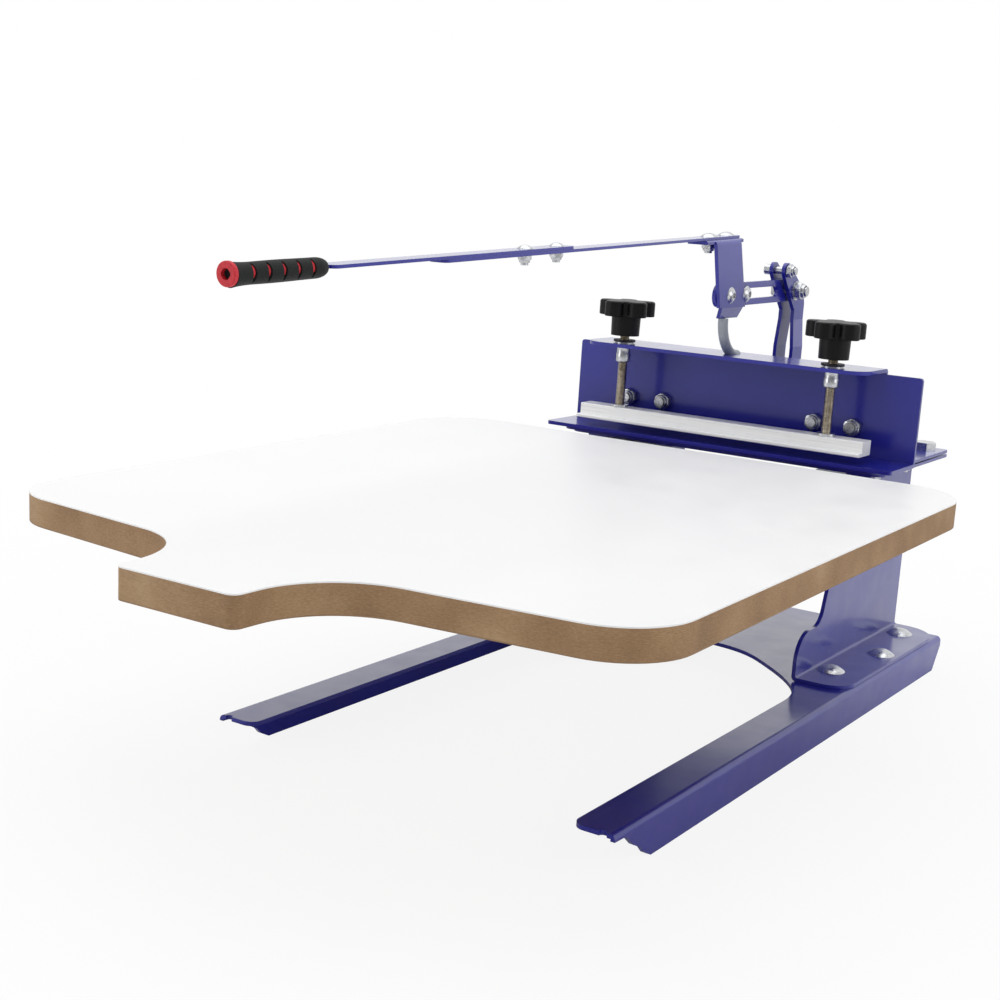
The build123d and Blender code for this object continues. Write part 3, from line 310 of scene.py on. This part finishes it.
def solid_boxes(name):
    """(lowest corner, highest corner) of each separate solid in a CAD node.

    They come in order of place, so that each keeps its own random turn in every run.
    """
    work = bmesh.new()
    work.from_mesh(nodes[name].data)
    bmesh.ops.remove_doubles(work, verts=work.verts, dist=0.01 * MM)
    left = set(work.verts)
    boxes = []
    while left:
        todo = [left.pop()]
        group = list(todo)
        while todo:
            for edge in todo.pop().link_edges:
                for vertex in edge.verts:
                    if vertex in left:
                        left.remove(vertex)
                        todo.append(vertex)
                        group.append(vertex)
        places = [vertex.co for vertex in group]
        boxes.append((Vector(min(place[i] for place in places) for i in range(3)),
                      Vector(max(place[i] for place in places) for i in range(3))))
    work.free()
    return sorted(boxes, key=lambda box: tuple(round(c / MM) for c in box[0]))


def smooth(piece, angle=SHARP_FROM):
    """Smooth shading, but sharp where faces meet at more than the angle."""
    for polygon in piece.data.polygons:
        polygon.use_smooth = True
    piece.data.set_sharp_from_angle(angle=angle)


# ================================================================ Geometry Nodes tools
def new_tree(name, inputs):
    """Tree with named inputs; also its input sockets by name, and its output node."""
    tree = bpy.data.node_groups.new(name, "GeometryNodeTree")
    sockets = {"Geometry": "Geometry", **inputs, "Material": "Material"}
    for label, kind in sockets.items():
        tree.interface.new_socket(label, in_out="INPUT", socket_type="NodeSocket" + kind)
    tree.interface.new_socket("Geometry", in_out="OUTPUT", socket_type="NodeSocketGeometry")
    given = {socket.name: socket for socket in add(tree, "NodeGroupInput").outputs}
    return tree, given, add(tree, "NodeGroupOutput")


def close_tree(tree, given, result, geometry):
    """Ends a tree with plain geometry in its one material."""
    solid = add(tree, "GeometryNodeRealizeInstances", {0: geometry}).outputs[0]
    coated = add(tree, "GeometryNodeSetMaterial", {
        "Geometry": solid, "Material": given["Material"]}).outputs[0]
    tree.links.new(coated, result.inputs["Geometry"])


def shaping_tree(name, inputs, steps):
    """Tree that moves every point of a body, by a calculation from its X, Y and Z.

    Each step is a result's name, a Math operation, and one or two values, which are
    numbers, inputs or earlier results. The results new X, new Y and new Z are the place.
    """
    tree, given, result = new_tree(name, dict.fromkeys(inputs, "Float"))
    at = add(tree, "GeometryNodeInputPosition").outputs[0]
    part = add(tree, "ShaderNodeSeparateXYZ", {0: at}).outputs
    known = {**given, "X": part["X"], "Y": part["Y"], "Z": part["Z"]}
    for label, operation, *values in steps:
        inputs_of_step = {i: known.get(value, value) for i, value in enumerate(values)}
        known[label] = add(tree, "ShaderNodeMath", inputs_of_step, operation=operation).outputs[0]
    place = add(tree, "ShaderNodeCombineXYZ", {
        axis: known.get("new " + axis, known[axis]) for axis in "XYZ"}).outputs[0]
    moved = add(tree, "GeometryNodeSetPosition", {
        "Geometry": given["Geometry"], "Position": place}).outputs[0]
    close_tree(tree, given, result, moved)
    return tree


def fastener_tree():
    """Puts one fastener on every point, each turned about its own axis by chance."""
    tree, given, result = new_tree("fasteners on their seats", {
        "Fastener": "Object", "Direction": "Vector", "Seed": "Int"})
    pattern = add(tree, "GeometryNodeObjectInfo", {"Object": given["Fastener"]})
    along = add(tree, "FunctionNodeAlignRotationToVector", {"Vector": given["Direction"]},
                axis="Z").outputs[0]
    turn = add(tree, "FunctionNodeRandomValue", {"Max": 2 * pi, "Seed": given["Seed"]},
               data_type="FLOAT").outputs["Value"]
    own = add(tree, "FunctionNodeAxisAngleToRotation", {"Angle": turn}).outputs[0]
    facing = add(tree, "FunctionNodeRotateRotation", {"Rotation": along, "Rotate By": own},
                 rotation_space="LOCAL").outputs[0]
    placed = add(tree, "GeometryNodeInstanceOnPoints", {
        "Points": given["Geometry"], "Instance": pattern.outputs["Geometry"],
        "Rotation": facing}).outputs[0]
    close_tree(tree, given, result, placed)
    return tree


def grown(piece, tree, **values):
    """Runs a tree on a piece and keeps the result as its plain mesh."""
    modifier = piece.modifiers.new(tree.name, "NODES")
    modifier.node_group = tree
    for item in tree.interface.items_tree:
        label = item.name.replace(" ", "_")
        if item.in_out == "INPUT" and label in values:
            modifier[item.identifier] = values[label]
    graph = bpy.context.evaluated_depsgraph_get()
    mesh = bpy.data.meshes.new_from_object(piece.evaluated_get(graph))
    piece.modifiers.remove(modifier)
    piece.data = mesh


def stand_in(piece, node, body):
    """The piece takes the CAD node's place on its body."""
    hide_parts(node)
    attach(piece, body)


# ================================================================ clamp studs
def clamp_studs():
    """M8 studs with a rolled thread, from the clamp bar up into each knob."""
    tree = shaping_tree("rolled thread", ("Radius", "Length", "Pitch", "Depth"), [
        ("angle", "ARCTAN2", "Y", "X"),
        ("turn", "DIVIDE", "angle", 2 * pi),
        ("climb", "DIVIDE", "Z", "Pitch"),
        ("lead", "SUBTRACT", "climb", "turn"),
        ("phase", "FRACT", "lead"),
        ("double", "MULTIPLY", "phase", 2.0),
        ("centred", "SUBTRACT", "double", 1.0),
        ("wave", "ABSOLUTE", "centred"),
        ("half length", "MULTIPLY", "Length", 0.5),
        ("from middle", "ABSOLUTE", "Z"),
        ("from end", "SUBTRACT", "half length", "from middle"),
        ("turns from end", "DIVIDE", "from end", "Pitch"),
        ("inside the end", "MAXIMUM", "turns from end", 0.0),
        ("fade", "MINIMUM", "inside the end", 1.0),
        ("ridge", "MULTIPLY", "wave", "fade"),
        ("groove", "SUBTRACT", 1.0, "ridge"),
        ("cut", "MULTIPLY", "Depth", "groove"),
        ("cut radius", "SUBTRACT", "Radius", "cut"),
        ("share", "DIVIDE", "cut radius", "Radius"),
        ("new X", "MULTIPLY", "X", "share"),
        ("new Y", "MULTIPLY", "Y", "share")])
    for side in ("left", "right"):
        node = "clamp_stud_" + side
        low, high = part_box(node)
        radius, length = (high.x - low.x) / 2, high.z - low.z
        steps = round(length / STUD_PITCH * RINGS_PER_PITCH)
        rings = [(-length / 2, 0)]
        rings += [(length * (i / steps - 0.5), radius) for i in range(steps + 1)]
        rings += [(length / 2, 0)]
        stud = turned("stud_" + side, rings, 40)
        grown(stud, tree, Radius=radius, Length=length, Pitch=STUD_PITCH, Depth=THREAD_DEPTH,
              Material=stud_steel)
        stud.data.transform(Matrix.Translation((low + high) / 2))
        smooth(stud, THREAD_SHARP_FROM)
        stand_in(stud, node, side + "_screw")


# ================================================================ fasteners
def lock_nut(size):
    """Lock nut on the end of its bolt: chamfered hexagon, rounded collar with the nylon
    ring inside it, and the bolt's chamfered end standing in the middle."""
    across, height, shank = size
    body = 0.68 * height
    collar = 0.44 * across
    return turned("pattern", [
        (0, 0), (0, 0.47 * across), (0.04 * across, 0.56 * across),
        (0.08 * across, 0.6 * across), (body - 0.1 * across, 0.6 * across),
        (body - 0.03 * across, 0.53 * across), (body, 0.47 * across), (body, collar),
        (height - 0.08 * across, collar), (height - 0.02 * across, 0.41 * across),
        (height, 0.36 * across), (height - 0.02 * across, shank * 1.22),
        (height - 0.06 * across, shank * 1.16), (height - 0.06 * across, shank),
        (height + 0.06 * across, shank), (height + 0.12 * across, 0.8 * shank),
        (height + 0.12 * across, 0)], 60, across)


def rivet_nut(rim, height):
    """Threaded insert: round body, squeezed waist under the roof, flared neck, thin rim."""
    body = 0.74 * rim
    return tube("pattern", [
        (0, INSERT_BORE), (0, 0.9 * body), (0.03 * height, 0.97 * body),
        (0.07 * height, body), (0.4 * height, body), (0.45 * height, 0.94 * body),
        (0.6 * height, 0.92 * body), (0.7 * height, 0.97 * body),
        (0.86 * height, 1.1 * body), (height - RIM_THICKNESS, rim), (height - RIM_EDGE, rim),
        (height, rim - RIM_EDGE), (height, INSERT_BORE)], 48)


def fasteners():
    """The clamp's threaded inserts, then each row of lock nuts on the bolts of one node."""
    tree = fastener_tree()
    boxes = solid_boxes("rivet_nuts")
    low, high = boxes[0]
    insert = rivet_nut((high.x - low.x) / 2, high.z - low.z)
    up = Vector((0, 0, 1))
    down = Vector((0, sin(HANDLE_SLOPE), -cos(HANDLE_SLOPE)))    # square to the handle
    right = Vector((1, 0, 0))
    front = Vector((0, -1, 0))
    # Piece, CAD node, body, pattern, its height, the way it points, seed.
    rows = [("threaded_inserts", "rivet_nuts", "head", insert, high.z - low.z, up, 7)]
    rows += [(node + "_bolted", node, body, lock_nut(size), size[1], way, seed)
             for seed, (node, body, size, way) in enumerate([
                 ("web_nuts", "head", M8, front), ("pivot_nut", "head", M8, right),
                 ("stop_nut", "head", M6, right), ("tab_nuts", "handle", M6, down),
                 ("splice_nuts", "handle", M5, down)])]
    for name, node, body, pattern, height, way, seed in rows:
        seats = [(low + high) / 2 - way * height / 2 for low, high in solid_boxes(node)]
        row = new_object(name, seats, [])
        grown(row, tree, Fastener=pattern, Direction=way, Seed=seed,
              Material=finishes["zinc_plate"])
        bpy.data.objects.remove(pattern)
        smooth(row)
        stand_in(row, node, body)


# ================================================================ grip
def grip_sleeve():
    """Foam sleeve, flared over the red collar, slim in the middle and domed at the rear,
    with a row of lens-shaped slits down to where the red core comes through."""
    tree = shaping_tree("slits in the sleeve", (
        "First", "Spacing", "Count", "Half Width", "Half Arc", "Facing", "Floor Radius"), [
        ("angle", "ARCTAN2", "Z", "X"),
        ("from facing", "SUBTRACT", "angle", "Facing"),
        ("share of arc", "DIVIDE", "from facing", "Half Arc"),
        ("squared", "MULTIPLY", "share of arc", "share of arc"),
        ("lens", "SUBTRACT", 1.0, "squared"),
        ("open lens", "MAXIMUM", "lens", 0.0),
        ("slit reach", "MULTIPLY", "open lens", "Half Width"),
        ("from first", "SUBTRACT", "Y", "First"),
        ("step", "DIVIDE", "from first", "Spacing"),
        ("whole step", "ROUND", "step"),
        ("last step", "SUBTRACT", "Count", 1.0),
        ("not past last", "MINIMUM", "whole step", "last step"),
        ("nearest", "MAXIMUM", "not past last", 0.0),
        ("off centre", "SUBTRACT", "step", "nearest"),
        ("steps away", "ABSOLUTE", "off centre"),
        ("away", "MULTIPLY", "steps away", "Spacing"),
        ("in slit", "LESS_THAN", "away", "slit reach"),
        ("X squared", "MULTIPLY", "X", "X"),
        ("Z squared", "MULTIPLY", "Z", "Z"),
        ("both squared", "ADD", "X squared", "Z squared"),
        ("radius", "SQRT", "both squared"),
        ("safe radius", "MAXIMUM", "radius", 0.001 * MM),
        ("pressed", "DIVIDE", "Floor Radius", "safe radius"),
        ("full change", "SUBTRACT", "pressed", 1.0),
        ("change", "MULTIPLY", "in slit", "full change"),
        ("scale", "ADD", 1.0, "change"),
        ("new X", "MULTIPLY", "X", "scale"),
        ("new Z", "MULTIPLY", "Z", "scale")])
    low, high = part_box("grip_sleeve")
    length = (high.y - low.y) / cos(HANDLE_SLOPE)
    straight = length - GRIP_DOME_LENGTH
    rings = [(0, 0), (0, 0.97 * GRIP_FRONT), (GRIP_EDGE, GRIP_FRONT)]
    steps = 300                    # close rings, so that the slits have clean outlines
    for i in range(1, steps + 1):
        along = straight * i / steps
        flare = max(0.0, 1 - along / GRIP_FLARE_LENGTH) ** 2
        swell = GRIP_SWELL * sin(pi * along / straight) ** 2
        rings.append((along, GRIP_SLIM + swell + (GRIP_FRONT - GRIP_SLIM) * flare))
    dome_steps = 15
    for i in range(1, dome_steps + 1):
        turn = pi / 2 * i / dome_steps
        rings.append((straight + GRIP_DOME_LENGTH * sin(turn),
                      GRIP_TIP + (GRIP_SLIM - GRIP_TIP) * cos(turn)))
    rings.append((length, 0))
    sleeve = turned("foam_sleeve", rings, 160)
    sleeve.data.transform(Matrix.Rotation(-pi / 2, 4, "X"))
    grown(sleeve, tree, First=SLIT_FIRST, Spacing=SLIT_SPACING, Count=float(SLIT_COUNT),
          Half_Width=SLIT_HALF_WIDTH, Half_Arc=SLIT_HALF_ARC, Facing=SLIT_FACING,
          Floor_Radius=SLIT_FLOOR, Material=finishes["black_rubber"])
    along = Vector((0, cos(HANDLE_SLOPE), sin(HANDLE_SLOPE)))
    start = (low + high) / 2 - along * length / 2
    sleeve.data.transform(Matrix.Translation(start) @ Matrix.Rotation(HANDLE_SLOPE, 4, "X"))
    smooth(sleeve)
    stand_in(sleeve, "grip_sleeve", "handle")


# ================================================================ floor, light and camera
def backdrop():
    """Plain pale floor that the camera sees as white and that keeps the shadow."""
    half = FLOOR_HALF
    floor = new_object("floor", [(-half, -half, 0), (half, -half, 0), (half, half, 0),
                                 (-half, half, 0)], [(0, 1, 2, 3)])
    material = bpy.data.materials.new("floor paper")
    material.use_nodes = True
    tree = material.node_tree
    shader = tree.nodes["Principled BSDF"]
    shader.inputs["Roughness"].default_value = 0.9
    shader.inputs["Base Color"].default_value = colour("#f4f4f4")
    glow = add(tree, "ShaderNodeEmission", {"Strength": 1.0})
    place = add(tree, "ShaderNodeTexCoord").outputs["Object"]
    away = add(tree, "ShaderNodeVectorMath", {0: place}, operation="LENGTH").outputs["Value"]
    fade = add(tree, "ShaderNodeMapRange", {
        "Value": away, "From Min": GLOW_FADE[0], "From Max": GLOW_FADE[1],
        "To Min": FLOOR_GLOW, "To Max": 1.0}).outputs["Result"]
    rays = add(tree, "ShaderNodeLightPath").outputs
    share = add(tree, "ShaderNodeMath", {0: rays["Is Camera Ray"], 1: fade},
                operation="MULTIPLY").outputs[0]
    paper = add(tree, "ShaderNodeMixShader", {
        0: share, 1: shader.outputs[0], 2: glow.outputs[0]})
    tree.links.new(paper.outputs[0], tree.nodes["Material Output"].inputs["Surface"])
    floor.data.materials.append(material)


def world_light():
    """Even white room: the camera sees it as white, mirrors find it dimmer at the front."""
    world = bpy.data.worlds.new("studio")
    bpy.context.scene.world = world
    world.use_nodes = True
    tree = world.node_tree
    rays = add(tree, "ShaderNodeLightPath").outputs
    way = add(tree, "ShaderNodeTexCoord").outputs["Object"]
    towards_rear = add(tree, "ShaderNodeSeparateXYZ", {0: way}).outputs["Y"]
    mirrored = add(tree, "ShaderNodeMapRange", {
        "Value": towards_rear, "From Min": FRONT_TO_REAR[0], "From Max": FRONT_TO_REAR[1],
        "To Min": MIRRORED_FRONT, "To Max": 1.0}).outputs["Result"]
    lit = add(tree, "ShaderNodeMix", {
        "Factor": rays["Is Glossy Ray"], "A": ROOM_LIGHT, "B": mirrored}).outputs["Result"]
    seen = add(tree, "ShaderNodeMath", {0: lit, 1: rays["Is Camera Ray"]},
               operation="MAXIMUM").outputs[0]
    background = tree.nodes["Background"]
    background.inputs["Color"].default_value = (1, 1, 1, 1)
    tree.links.new(seen, background.inputs["Strength"])


def softbox(name, position, target, size, power):
    """Soft rectangular lamp that faces its target."""
    light = bpy.data.lights.new(name, "AREA")
    light.shape = "RECTANGLE"
    light.size, light.size_y = size
    light.energy = power
    lamp = bpy.data.objects.new(name, light)
    lamp.location = position
    aim = Vector(target) - Vector(position)
    lamp.rotation_euler = aim.to_track_quat("-Z", "Y").to_euler()
    bpy.context.scene.collection.objects.link(lamp)


def camera():
    """Stands to the right of the press and in front of it, a little above the handle."""
    yaw, pitch, roll = 0.5818, 0.2008, 0.0597
    front_to_middle = (cad_high.y - cad_low.y) / 2
    stand = Vector((0.5435, -0.5506 - front_to_middle, 0.3803))
    forward = Vector((-sin(yaw) * cos(pitch), cos(yaw) * cos(pitch), -sin(pitch)))
    level = Vector((cos(yaw), sin(yaw), 0))
    up = level.cross(forward)
    right = level * cos(roll) + up * sin(roll)
    up = up * cos(roll) - level * sin(roll)
    data = bpy.data.cameras.new("camera")
    data.sensor_width = 36.0
    data.lens = 57.27
    data.shift_x, data.shift_y = 0.0155, 0.0111
    data.clip_start = 0.01
    view = bpy.data.objects.new("camera", data)
    turn = Matrix((right, up, -forward)).transposed().to_4x4()
    view.matrix_world = Matrix.Translation(stand) @ turn
    bpy.context.scene.collection.objects.link(view)
    bpy.context.scene.camera = view


clamp_studs()
fasteners()
grip_sleeve()
backdrop()
world_light()
softbox("overhead", (-0.2, 0.0, 2.0), (0, 0.0, 0.15), (2.2, 2.2), 22.0)
softbox("right side", (2.2, 0.2, 0.9), (0.1, 0.1, 0.15), (1.4, 1.2), 9.0)
softbox("front left", (-1.9, -1.7, 0.8), (0, 0.0, 0.15), (1.2, 1.2), 12.0)
camera()
bpy.context.scene.view_settings.view_transform = "Standard"
